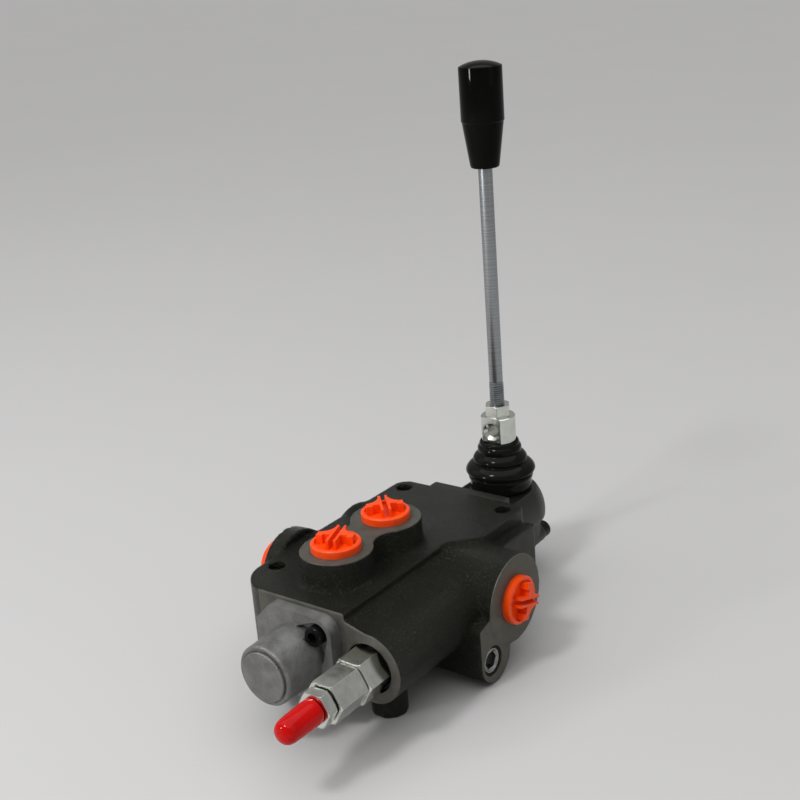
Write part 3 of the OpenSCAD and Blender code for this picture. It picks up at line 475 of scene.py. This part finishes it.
def tooled(name, dark, light, rough, centre, direction, rings, depth, **fixed):
    """A turned metal: rings round an axis, with streaks of colour and gloss."""
    if name in MATERIALS:
        return MATERIALS[name]
    material, tree, shader, place = new_material(name, **fixed)
    turn = Vector(direction).rotation_difference(Vector((0, 0, 1))).to_euler()
    moved = add_node(tree, "ShaderNodeVectorMath", {"operation": "SUBTRACT"}, _0=place, _1=centre)
    laid = add_node(
        tree,
        "ShaderNodeVectorRotate",
        {"rotation_type": "EULER_XYZ"},
        Vector=moved.outputs[0],
        Rotation=turn,
    )
    marks = add_node(
        tree,
        "ShaderNodeGroup",
        {"node_tree": group(tool_marks_group)},
        Vector=laid.outputs[0],
        Rings_per_metre=rings,
        Depth=depth * MM,
    )
    tree.links.new(marks.outputs["Normal"], shader.inputs["Normal"])
    tree.links.new(ramp(tree, marks.outputs["Streaks"], dark, light), shader.inputs["Base Color"])
    tree.links.new(spread(tree, marks.outputs["Streaks"], *rough), shader.inputs["Roughness"])
    return material


def cast_iron():
    """Black sand-cast iron, whose machined faces are lighter and smoother, with glints of light painted on
    the high points of its cast grain.
    """
    name = "Black cast iron"
    if name in MATERIALS:
        return MATERIALS[name]
    material, tree, shader, place = new_material(
        name, Specular_IOR_Level=0.24, Specular_Tint=(0.97, 1.0, 0.8, 1)
    )
    cast = grain_at(tree, place, grains=1000.0, depth=1.1, grit=0.5, mottle=45.0)
    cut = grain_at(tree, place, grains=2500.0, depth=0.02, grit=0.4, mottle=140.0)
    where = add_node(tree, "ShaderNodeSeparateXYZ", Vector=place)
    bare = 0.0
    for axis, side, limit in BARE_FACES:
        beyond = reckon(tree, side, where.outputs[axis], limit * MM)
        bare = reckon(tree, "MAXIMUM", bare, beyond)
    black = ramp(tree, cast.outputs["Mottle"], (0.0030, 0.0031, 0.0024), (0.0062, 0.0065, 0.0050))
    # Painted glints: a lighter grey painted where the grain stands highest, standing in for light sparkling
    # on the cast grains
    painted_glint_share = ramp(tree, cast.outputs["Height"], (0, 0, 0), (0.8, 0.8, 0.8), 0.84, 0.95)
    with_painted_glints = mixed(tree, "RGBA", painted_glint_share, black, (0.034, 0.035, 0.032, 1))
    metal_grey = ramp(tree, cut.outputs["Mottle"], (0.07, 0.068, 0.06), (0.108, 0.105, 0.093))
    colour = mixed(tree, "RGBA", bare, with_painted_glints, metal_grey)
    rough = mixed(
        tree,
        "FLOAT",
        bare,
        spread(tree, cast.outputs["Mottle"], 0.1, 0.24),
        spread(tree, cut.outputs["Mottle"], 0.38, 0.5),
    )
    normal = mixed(tree, "VECTOR", bare, cast.outputs["Normal"], cut.outputs["Normal"])
    tree.links.new(colour, shader.inputs["Base Color"])
    tree.links.new(rough, shader.inputs["Roughness"])
    tree.links.new(normal, shader.inputs["Normal"])
    tree.links.new(reckon(tree, "MULTIPLY", bare, BARE_METALLIC), shader.inputs["Metallic"])
    return material


# Each finish gives its name, a darker and a lighter colour, a range of roughness, and then the grains per
# metre and their depth in mm, or the axis of its rings


def raw_aluminium():
    return grained(
        "Raw cast aluminium", (0.14, 0.14, 0.135), (0.24, 0.24, 0.232), (0.34, 0.46), 1500.0, 0.3,
        mottle=160.0, Metallic=0.7,
    )


def black_oxide():
    return grained(
        "Black oxide", (0.003, 0.003, 0.003), (0.006, 0.006, 0.006), (0.14, 0.22), 3000.0, 0.01,
        Specular_IOR_Level=0.16,
    )


def grey_zinc():
    return grained(
        "Grey-green zinc", (0.58, 0.6, 0.555), (0.74, 0.76, 0.71), (0.15, 0.24), 1600.0, 0.015,
        mottle=150.0, Metallic=1.0,
    )


def dull_zinc():
    return grained(
        "Dull zinc", (0.2, 0.21, 0.2), (0.36, 0.37, 0.35), (0.16, 0.28), 1600.0, 0.03,
        mottle=150.0, Metallic=1.0,
    )


def rod_zinc(foot):
    return tooled(
        "Blue zinc rod", (0.24, 0.255, 0.265), (0.4, 0.42, 0.43), (0.32, 0.44), foot, (0, 0, 1),
        rings=1500.0, depth=0.003, Metallic=1.0,
    )


def ground_steel():
    return tooled(
        "Ground steel", (0.5, 0.51, 0.52), (0.68, 0.69, 0.7), (0.14, 0.24), SPOOL_AXIS, (0, 1, 0),
        rings=4000.0, depth=0.006, Metallic=1.0,
    )


def spring_steel():
    return grained(
        "Spring steel", (0.10, 0.10, 0.11), (0.2, 0.2, 0.21), (0.3, 0.45), 2000.0, 0.02, Metallic=1.0
    )


def brass():
    return grained(
        "Turned brass", (0.55, 0.36, 0.11), (0.68, 0.46, 0.16), (0.2, 0.32), 1800.0, 0.02, Metallic=1.0
    )


def housing_paint():
    return grained(
        "Dark painted die-casting", (0.005, 0.0053, 0.0044), (0.0095, 0.0098, 0.0084), (0.3, 0.42),
        1100.0, 0.2, Specular_IOR_Level=0.38, Specular_Tint=(0.97, 1.0, 0.84, 1),
    )


def boot_rubber():
    return grained(
        "Glossy black rubber", (0.005, 0.0052, 0.0048), (0.0078, 0.008, 0.0074), (0.07, 0.12),
        900.0, 0.006, Specular_IOR_Level=0.09,
    )


def seal_rubber():
    return grained(
        "Matt black rubber", (0.012, 0.012, 0.012), (0.02, 0.02, 0.02), (0.6, 0.75), 2500.0, 0.02
    )


def knob_plastic():
    return grained(
        "Glossy black plastic", (0.0016, 0.0016, 0.0014), (0.003, 0.003, 0.0026), (0.06, 0.1),
        400.0, 0.005, mottle=90.0, Specular_IOR_Level=0.07,
    )


def seat_plastic():
    return grained("Bearing plastic", (0.62, 0.61, 0.55), (0.72, 0.71, 0.65), (0.4, 0.5), 1500.0, 0.02)


def orange_plastic():
    return grained(
        "Orange plug plastic", (0.86, 0.056, 0.001), (0.94, 0.078, 0.002), (0.24, 0.36), 700.0, 0.02,
        mottle=120.0, Subsurface_Weight=0.06, Subsurface_Scale=0.003, Specular_IOR_Level=0.32,
    )


def red_vinyl():
    return grained(
        "Glossy red vinyl", (0.45, 0.0015, 0.0015), (0.56, 0.002, 0.0015), (0.1, 0.17), 500.0, 0.012,
        mottle=80.0, Specular_IOR_Level=0.15,
    )


# Sizes and colours that a user would change


class ValveDressing(bpy.types.PropertyGroup):
    cast_voxel: bpy.props.FloatProperty(
        name="Casting detail",
        description="Mesh size of the casting, in millimetres",
        default=0.7,
        min=0.5,
        max=2.0,
    )
    cast_softness: bpy.props.IntProperty(
        name="Casting softness", description="How far the cast edges melt", default=4, min=0, max=30
    )
    edge_break: bpy.props.FloatProperty(
        name="Edge break",
        description="Width of the broken edges on turned parts, in millimetres",
        default=0.25,
        min=0.05,
        max=0.5,
    )
    thread_pitch: bpy.props.FloatProperty(
        name="Rod thread pitch",
        description="Pitch of the rod's thread, in millimetres",
        default=1.25,
        min=0.75,
        max=1.75,
    )
    floor_tone: bpy.props.FloatVectorProperty(
        name="Floor",
        description="Colour of the floor",
        subtype="COLOR",
        default=(0.52, 0.515, 0.515),
        min=0,
        max=1,
    )
    light_power: bpy.props.FloatProperty(
        name="Light", description="Power of the main softbox, in watts", default=8.0, min=1.0, max=80.0
    )


# Pieces


def on_casting_cut(p):
    """True where the casting's surface was machined: faces, spot faces and holes, in mm."""
    if any(value < low or value > high for value, (low, high) in zip(p, CRISP_OUTSIDE)):
        return True
    if any(math.hypot(p.x - x, p.y - y) < MOUNTING_HOLE_RIM for x, y in MOUNTING_HOLES):
        return True
    if math.hypot(p.x - SPOOL_X, p.z - SPOOL_Z) < BORE_RIM:
        return True
    return math.hypot(p.x - RELIEF_X, p.z - SPOOL_Z) < BORE_RIM and p.y < RELIEF_BORE_END


class VALVE_OT_casting(bpy.types.Operator):
    """Builds the cast body with soft cast edges and crisp machined faces"""

    bl_idname = "valve.casting"
    bl_label = "Cast body"

    def execute(self, context):
        sizes = context.scene.valve_dressing
        body = cast_copy("body_casting", "cast_body", sizes.cast_voxel, sizes.cast_softness, on_casting_cut)
        finish_with(body, cast_iron())
        smooth(body, 40)
        stand_in(body, "valve_body", "casting", "body_casting")
        return {"FINISHED"}


class VALVE_OT_end_castings(bpy.types.Operator):
    """Builds the spring cap and the lever housing"""

    bl_idname = "valve.end_castings"
    bl_label = "Spring cap and lever housing"

    def execute(self, context):
        cap = eased_copy("spring_cap", "spring_cap_casting", width=0.16)
        finish_with(cap, raw_aluminium())
        stand_in(cap, "valve_body", "aluminium_cast", "spring_cap")
        housing = cast_copy(
            "lever_housing",
            "lever_housing_casting",
            voxel=0.6,
            passes=3,
            machined=lambda place: place.y < HOUSING_FACE,
        )
        finish_with(housing, housing_paint())
        smooth(housing, 40)
        stand_in(housing, "valve_body", "housing_paint", "lever_housing")
        return {"FINISHED"}


HARDWARE = [
    # node, piece, body, slot, finish, times the edge break's width
    ("cap_screws", "cap_socket_screws", "valve_body", "black_oxide", black_oxide, 1.0),
    ("housing_screws", "housing_socket_screws", "valve_body", "black_oxide", black_oxide, 1.0),
    ("relief_body", "relief_valve_body", "valve_body", "zinc_green", grey_zinc, 1.2),
    ("relief_sleeve", "relief_adjuster_housing", "valve_body", "zinc_green", grey_zinc, 1.2),
    ("relief_lock_nut", "relief_lock_nut_dressed", "valve_body", "zinc_green", grey_zinc, 1.0),
    ("lever_hub", "lever_hub_turned", "lever", "zinc_green", grey_zinc, 1.2),
    ("jam_nut", "jam_nut_dressed", "lever", "zinc_green", grey_zinc, 1.0),
]


class VALVE_OT_hardware(bpy.types.Operator):
    """Breaks the edges of screws, nuts, hexagons and the lever hub"""

    bl_idname = "valve.hardware"
    bl_label = "Screws, nuts and turned parts"

    def execute(self, context):
        width = context.scene.valve_dressing.edge_break
        for node, name, body, slot, finish, factor in HARDWARE:
            piece = eased_copy(node, name, width * factor)
            finish_with(piece, finish())
            stand_in(piece, body, slot, node)
        return {"FINISHED"}


class VALVE_OT_gallery_plug(bpy.types.Operator):
    """Builds the screwed plug below the pressure port, with its dished face and hexagon socket"""

    bl_idname = "valve.gallery_plug"
    bl_label = "Gallery plug"

    def execute(self, context):
        low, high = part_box("gallery_plug")
        foot = Vector((low.x, (low.y + high.y) / 2, (low.z + high.z) / 2))
        radius = (high.y - low.y) / 2 / MM
        length = (high.x - low.x) / MM
        dish = length - 0.75
        cutter_radius, cutter_depth, cutter_centre = radius - 1.75, 5, length - 2.6
        profile = [
            (0, 0), (radius - 0.8, 0), (radius, 0.8), (radius, length - 0.35), (radius - 0.35, length),
            (radius - 0.95, length), (radius - 1.7, dish), (0, dish),
        ]
        plug = turned("gallery_plug_dressed", profile, foot, (1, 0, 0), steps=60)
        deselect_everything()
        bpy.ops.mesh.primitive_cylinder_add(
            vertices=6,
            radius=cutter_radius * MM,
            depth=cutter_depth * MM,
            location=foot + Vector((cutter_centre * MM, 0, 0)),
            rotation=(0, math.radians(90), 0),
        )
        socket = bpy.context.object
        settle(socket)
        apply_modifier(plug, "BOOLEAN", operation="DIFFERENCE", object=socket, solver="EXACT")
        bpy.data.objects.remove(socket)
        break_edges(plug, width=0.12)
        finish_with(plug, dull_zinc())
        stand_in(plug, "valve_body", "zinc_blue", "gallery_plug")
        return {"FINISHED"}


class VALVE_OT_port_plugs(bpy.types.Operator):
    """Builds the moulded plugs in the four ports"""

    bl_idname = "valve.port_plugs"
    bl_label = "Port plugs"

    def execute(self, context):
        for port in ("plug_a", "plug_b", "plug_p", "plug_t"):
            plug = eased_copy(port, port + "_moulded", width=0.2)
            finish_with(plug, orange_plastic())
            stand_in(plug, port, "orange_plastic", port)
        return {"FINISHED"}


class VALVE_OT_boot(bpy.types.Operator):
    """Builds the bellows boot"""

    bl_idname = "valve.boot"
    bl_label = "Rubber boot"

    def execute(self, context):
        low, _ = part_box("boot")
        foot = Vector((LEVER_PIVOT.x, LEVER_PIVOT.y, low.z))
        outer = [
            (15.6, 0.0), (17.2, 0.0), (17.5, 0.3), (17.7, 5.4), (18.1, 6.4), (18.5, 7.4), (18.5, 8.3),
            (18.1, 9.1), (17.7, 9.45), (17.7, 9.65), (18.6, 9.8), (19.5, 10.3), (19.9, 11.2),
            (19.75, 12.3), (19.0, 13.6), (17.9, 14.8), (16.6, 15.6), (15.4, 16.0), (14.9, 16.3),
            (14.9, 16.5), (15.4, 17.2), (15.5, 18.2), (15.1, 19.4), (14.2, 20.6), (13.0, 21.5),
            (12.1, 22.0), (12.1, 22.3), (12.5, 23.5), (12.5, 24.9), (12.0, 26.0), (11.3, 26.6),
            (11.3, 26.9), (11.4, 27.6), (10.9, 28.6), (10.3, 29.0),
        ]
        inner = [
            (10.05, 28.9), (10.0, 24.5), (10.8, 23.5), (10.8, 22.0), (11.6, 20.8), (13.4, 18.5),
            (13.6, 16.5), (14.6, 14.9), (16.4, 12.5), (15.7, 10.4), (15.6, 9.6),
        ]
        boot = turned("boot_bellows", outer + inner + outer[:1], foot, (0, 0, 1), steps=72)
        apply_modifier(boot, "SUBSURF", levels=1, render_levels=1)
        finish_with(boot, boot_rubber())
        smooth(boot, 60)
        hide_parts("boot")
        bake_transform(boot)
        return {"FINISHED"}


class VALVE_OT_knob(bpy.types.Operator):
    """Builds the lever's knob"""

    bl_idname = "valve.knob"
    bl_label = "Knob"

    def execute(self, context):
        low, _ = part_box("knob")
        foot = Vector((LEVER_PIVOT.x, LEVER_PIVOT.y, low.z))
        profile = [
            (5.6, 20.0), (5.5, 0.3), (6.9, 0.0), (7.5, 0.3), (7.8, 0.9), (8.0, 2.2), (11.0, 23.4),
            (11.1, 24.0), (11.4, 24.3), (11.48, 24.8), (11.48, 51.9), (11.4, 52.2), (11.1, 52.4),
            (9.0, 53.4), (6.2, 54.3), (3.2, 54.85), (0.0, 55.0),
        ]
        knob = turned("knob_grip", profile, foot, (0, 0, 1))
        close_open_ends(knob)
        finish_with(knob, knob_plastic())
        smooth(knob, 28)
        stand_in(knob, "lever", "knob_plastic", "knob")
        return {"FINISHED"}


class VALVE_OT_rod(bpy.types.Operator):
    """Builds the lever rod with its screw thread"""

    bl_idname = "valve.rod"
    bl_label = "Lever rod"

    def execute(self, context):
        pitch = context.scene.valve_dressing.thread_pitch
        low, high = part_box("lever_rod")
        foot = Vector((LEVER_PIVOT.x, LEVER_PIVOT.y, low.z))
        knob_foot = (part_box("knob")[0].z - low.z) / MM
        hub_top = (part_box("lever_hub")[1].z - low.z) / MM
        end = (high.z - low.z) / MM
        neck = hub_top + THREAD_ABOVE_HUB
        thread_foot, thread_length = hub_top - 1.5, neck - hub_top + 1.0
        profile = [
            (0, 0), (2.9, 0), (THREAD_CORE, 0.5), (THREAD_CORE, neck - 0.8), (ROD_SHANK, neck),
            (ROD_SHANK, knob_foot - 1), (ROD_IN_KNOB, knob_foot), (ROD_IN_KNOB, end), (0, end),
        ]
        shaft = turned("lever_rod_threaded", profile, foot, (0, 0, 1), steps=48)
        smooth(shaft, 30)
        thread = thread_coil(
            "rod_thread",
            THREAD_CORE,
            THREAD_CREST,
            pitch,
            thread_length,
            foot + Vector((0, 0, thread_foot * MM)),
        )
        rod = join_pieces(shaft, thread)
        finish_with(rod, rod_zinc(foot))
        stand_in(rod, "lever", "zinc_blue", "lever_rod")
        return {"FINISHED"}


class VALVE_OT_dust_cap(bpy.types.Operator):
    """Builds the red dust cap on the adjusting screw"""

    bl_idname = "valve.dust_cap"
    bl_label = "Dust cap"

    def execute(self, context):
        low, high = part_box("dust_cap")
        foot = Vector((RELIEF_AXIS.x, high.y, RELIEF_AXIS.z))
        length = (high.y - low.y) / MM
        profile = [
            (5.35, 14.5), (5.35, 0.2), (5.7, 0.0), (6.3, 0.1), (6.48, 0.4), (6.46, 3.0), (6.4, 8.0),
            (6.2, 14.0), (5.95, length - 4.2), (5.6, length - 2.6), (4.7, length - 1.2),
            (3.3, length - 0.4), (1.6, length - 0.05), (0.0, length),
        ]
        cap = turned("dust_cap_vinyl", profile, foot, (0, -1, 0), steps=56)
        close_open_ends(cap)
        finish_with(cap, red_vinyl())
        smooth(cap, 50)
        stand_in(cap, "dust_cap", "red_vinyl", "dust_cap")
        return {"FINISHED"}


SPRINGS = (
    # node, joint, axis, corner of its box that stays in place, how far the joint presses it, in metres
    ("relief_spring", "relief_poppet_lift", (0, 1, 0), 0, 0.002),
    ("check_spring", "check_poppet_lift", (1, 0, 0), 1, 0.004),
)


class VALVE_OT_springs(bpy.types.Operator):
    """Builds the relief and check springs"""

    bl_idname = "valve.springs"
    bl_label = "Springs"

    def execute(self, context):
        for node, joint, axis, corner, lift in SPRINGS:
            spring = welded_copy(node, node + "_coil", merge_flats=True)
            smooth(spring, 60)
            finish_with(spring, spring_steel())
            stand_in(spring, "valve_body", "spring_steel", node)
            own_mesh(spring)
        return {"FINISHED"}


PLAIN_FINISHES = {
    "spool": ground_steel,
    "centring_bolt": black_oxide,
    "spool_seal_front": seal_rubber,
    "spool_seal_rear": seal_rubber,
    "spring_cup_rear": grey_zinc,
    "spring_cup_front": grey_zinc,
    "centring_spring": spring_steel,
    "adjusting_screw": grey_zinc,
    "relief_spring_seat": grey_zinc,
    "relief_poppet": ground_steel,
    "relief_seal": seal_rubber,
    "check_poppet": ground_steel,
    "ball_seat": seat_plastic,
    "pivot_pin": ground_steel,
    "seat_ring": spring_steel,
    "knob_insert": brass,
}


class VALVE_OT_inner_finishes(bpy.types.Operator):
    """Gives the inner parts, which keep their solids' shape, their finishes"""

    bl_idname = "valve.inner_finishes"
    bl_label = "Inner parts"

    def execute(self, context):
        for node, finish in PLAIN_FINISHES.items():
            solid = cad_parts[node]
            for slot in solid.material_slots:
                slot.link = "OBJECT"
                slot.material = finish()
        return {"FINISHED"}


# Stage


def softbox(name, place, size, power):
    bpy.ops.object.light_add(type="AREA", location=place)
    light = bpy.context.object
    light.name = name
    light.rotation_euler = (Vector(LIGHTS_AIM) - Vector(place)).to_track_quat("-Z", "Y").to_euler()
    light.data.shape = "RECTANGLE"
    light.data.size, light.data.size_y = size
    light.data.energy = power


def camera_pose():
    """The camera's place and turn: yaw counts from +Y to +X, pitch downward."""
    pitch, yaw, roll = (math.radians(angle) for angle in (CAMERA_PITCH, CAMERA_YAW, CAMERA_ROLL))
    ahead = Vector((math.sin(yaw) * math.cos(pitch), math.cos(yaw) * math.cos(pitch), -math.sin(pitch)))
    level = Vector((math.cos(yaw), -math.sin(yaw), 0))
    right = math.cos(roll) * level + math.sin(roll) * level.cross(ahead)
    up = right.cross(ahead)
    turn = Matrix((right, up, -ahead)).transposed().to_4x4()
    return Matrix.Translation(Vector(CAMERA_PLACE) * MM) @ turn


class VALVE_OT_stage(bpy.types.Operator):
    """Sets the floor, the lights and the camera"""

    bl_idname = "valve.stage"
    bl_label = "Stage"

    def execute(self, context):
        look = context.scene.valve_dressing
        deselect_everything()
        bpy.ops.mesh.primitive_plane_add(size=FLOOR_SIZE, location=(0, 0, FLOOR_LEVEL))
        floor = bpy.context.object
        floor.name = "floor"
        material, tree, shader, place = new_material("Pale floor", Roughness=0.7)
        tone = tuple(look.floor_tone)
        shade = tuple(part * 0.985 for part in tone)
        clouds = add_node(tree, "ShaderNodeTexNoise", Vector=place, Scale=3.0, Detail=2.0)
        tree.links.new(ramp(tree, clouds.outputs[0], shade, tone), shader.inputs["Base Color"])
        finish_with(floor, material)
        world = bpy.data.worlds.new("Studio")
        context.scene.world = world
        world.use_nodes = True
        back = world.node_tree.nodes["Background"]
        back.inputs["Color"].default_value = WORLD_TONE
        back.inputs["Strength"].default_value = WORLD_STRENGTH
        for name, spot, size, share in SOFTBOXES:
            softbox(name, spot, size, look.light_power * share)
        bpy.ops.object.light_add(type="SUN", location=(0, 0, 3))
        sky = bpy.context.object
        sky.name = "overhead diffuser"
        sky.data.energy = OVERHEAD_POWER
        sky.data.angle = OVERHEAD_SPREAD
        bpy.ops.object.camera_add()
        camera = bpy.context.object
        camera.name = "portrait camera"
        camera.matrix_world = camera_pose()
        camera.data.lens = CAMERA_LENS
        camera.data.sensor_width = CAMERA_SENSOR
        camera.data.clip_start = 0.01
        context.scene.camera = camera
        context.scene.view_settings.view_transform = "Standard"
        return {"FINISHED"}


OPERATORS = [
    VALVE_OT_casting,
    VALVE_OT_end_castings,
    VALVE_OT_hardware,
    VALVE_OT_gallery_plug,
    VALVE_OT_port_plugs,
    VALVE_OT_boot,
    VALVE_OT_knob,
    VALVE_OT_rod,
    VALVE_OT_dust_cap,
    VALVE_OT_springs,
    VALVE_OT_inner_finishes,
    VALVE_OT_stage,
]


class VALVE_PT_panel(bpy.types.Panel):
    """Lists the valve's pieces in the sidebar"""

    bl_idname = "VALVE_PT_panel"
    bl_label = "Control valve"
    bl_space_type = "VIEW_3D"
    bl_region_type = "UI"
    bl_category = "Valve"

    def draw(self, context):
        look = context.scene.valve_dressing
        for name in (
            "cast_voxel", "cast_softness", "edge_break", "thread_pitch", "floor_tone", "light_power",
        ):
            self.layout.prop(look, name)
        for operator in OPERATORS:
            self.layout.operator(operator.bl_idname)


def register():
    for made in (ValveDressing, *OPERATORS, VALVE_PT_panel):
        bpy.utils.register_class(made)
    bpy.types.Scene.valve_dressing = bpy.props.PointerProperty(type=ValveDressing)


def unregister():
    del bpy.types.Scene.valve_dressing
    for made in (VALVE_PT_panel, *reversed(OPERATORS), ValveDressing):
        bpy.utils.unregister_class(made)


def main():
    register()
    for operator in OPERATORS:
        family, name = operator.bl_idname.split(".")
        getattr(getattr(bpy.ops, family), name)()
    bpy.context.view_layer.update()
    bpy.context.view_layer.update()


if __name__ == "__main__":
    main()
